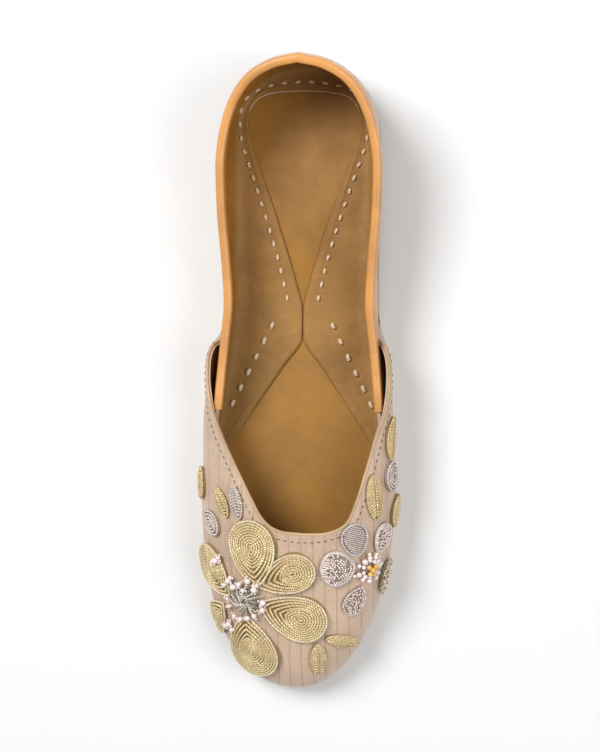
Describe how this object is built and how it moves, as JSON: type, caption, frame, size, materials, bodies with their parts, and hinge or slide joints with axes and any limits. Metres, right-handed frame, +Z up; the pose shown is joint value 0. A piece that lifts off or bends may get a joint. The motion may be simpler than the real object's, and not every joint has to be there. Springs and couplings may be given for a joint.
{
  "type": "mojari shoe",
  "caption": "Slip-on mojari shoe: cloth upper with embroidered vamp, tan leather collar binding, lined foot bed, thin leather sole and low stacked heel.",
  "frame": {"origin": "middle of the shoe's box, on the floor that it stands on", "axes": "+X toward the wearer's other foot (inner side), +Y toward the heel, +Z up"},
  "size_m": [0.0784, 0.248, 0.058],
  "materials": {
    "sole_leather": "natural tan, smooth, matt",
    "heel_leather": "stacked layers, brown, matt",
    "lining_leather": "mustard brown, fine grain, satin",
    "vamp_cloth": "dusty pink fine weave",
    "binding_leather": "tan, satin",
    "gold_cord": "antique gold metal thread",
    "silver_cord": "pale silver metal thread",
    "silver_beads": "small pearls and glass beads, glossy",
    "amber_beads": "small amber beads, glossy"
  },
  "bodies": {
    "root": {"outsole": "sole_leather", "heel_lift": "heel_leather", "heel_top_piece": "heel_leather", "insole": "lining_leather", "upper": "vamp_cloth", "collar_binding": "binding_leather", "lining_wings": "lining_leather", "gold_petal_1": "gold_cord", "gold_petal_2": "gold_cord", "gold_petal_3": "gold_cord", "gold_petal_4": "gold_cord", "gold_petal_5": "gold_cord", "gold_petal_6": "gold_cord", "gold_flower_centre": "silver_beads", "silver_petal_1": "silver_cord", "silver_petal_2": "silver_cord", "silver_petal_3": "silver_cord", "silver_petal_4": "silver_cord", "silver_petal_5": "silver_cord", "silver_flower_centre": "amber_beads", "front_leaf_1": "gold_cord", "front_leaf_2": "gold_cord", "inner_leaf_1": "gold_cord", "inner_leaf_2": "gold_cord", "inner_leaf_3": "gold_cord", "inner_bud": "silver_cord", "outer_leaf_1": "gold_cord", "outer_leaf_2": "gold_cord", "outer_leaf_3": "silver_cord", "outer_bud": "silver_cord"}
  },
  "joints": []
}
